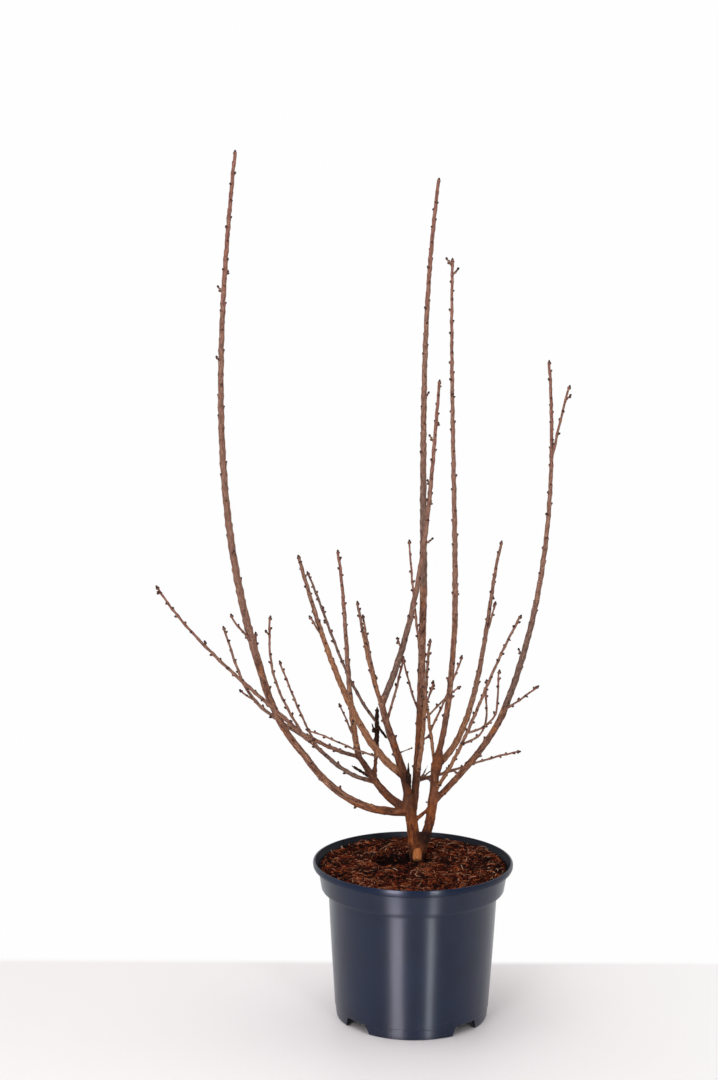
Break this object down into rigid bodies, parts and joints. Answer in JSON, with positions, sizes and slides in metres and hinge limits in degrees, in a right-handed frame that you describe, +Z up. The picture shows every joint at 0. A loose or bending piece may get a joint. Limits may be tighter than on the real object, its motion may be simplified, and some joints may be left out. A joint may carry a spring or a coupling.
{
  "type": "potted nanking cherry",
  "caption": "Bare winter nanking cherry shrub with upright budded whips, in a dark plastic nursery pot of coir compost.",
  "frame": {"origin": "centre of the pot's flat underside, on the ground", "axes": "+Z up, the longest extent; the picture looks along +Y with +X to its right"},
  "size_m": [0.3747, 0.1993, 0.7997],
  "materials": {
    "pot_plastic": "dark slate blue moulded plastic, satin",
    "compost": "fibrous red-brown coir compost",
    "old_bark": "grey-brown bark with orange peeling patches",
    "young_shoots": "smooth brown young bark with dark buds",
    "dead_wood": "weathered near-black dead wood"
  },
  "bodies": {
    "root": {"pot": "pot_plastic", "soil": "compost", "trunk": "old_bark", "bough_left_low": "old_bark", "bough_left_rise": "old_bark", "bough_left_fork": "old_bark", "bough_middle": "old_bark", "bough_centre": "old_bark", "bough_right": "old_bark", "bough_right_inner": "old_bark", "bough_right_arc": "old_bark", "dead_stub": "dead_wood", "whip_left_leader": "young_shoots", "whips_left_low": "young_shoots", "whips_left_front": "young_shoots", "whips_left_back": "young_shoots", "whips_front_left": "young_shoots", "whip_dead_stub": "young_shoots", "whips_middle": "young_shoots", "whip_middle_spur": "young_shoots", "whip_middle_tall": "young_shoots", "whip_centre_leader": "young_shoots", "whip_centre_spur": "young_shoots", "whips_centre_low": "young_shoots", "whip_centre_side": "young_shoots", "whip_right_leader": "young_shoots", "whips_right_thin": "young_shoots", "whips_right_back": "young_shoots", "whips_right_front": "young_shoots", "whips_right_arc": "young_shoots"}
  },
  "joints": []
}
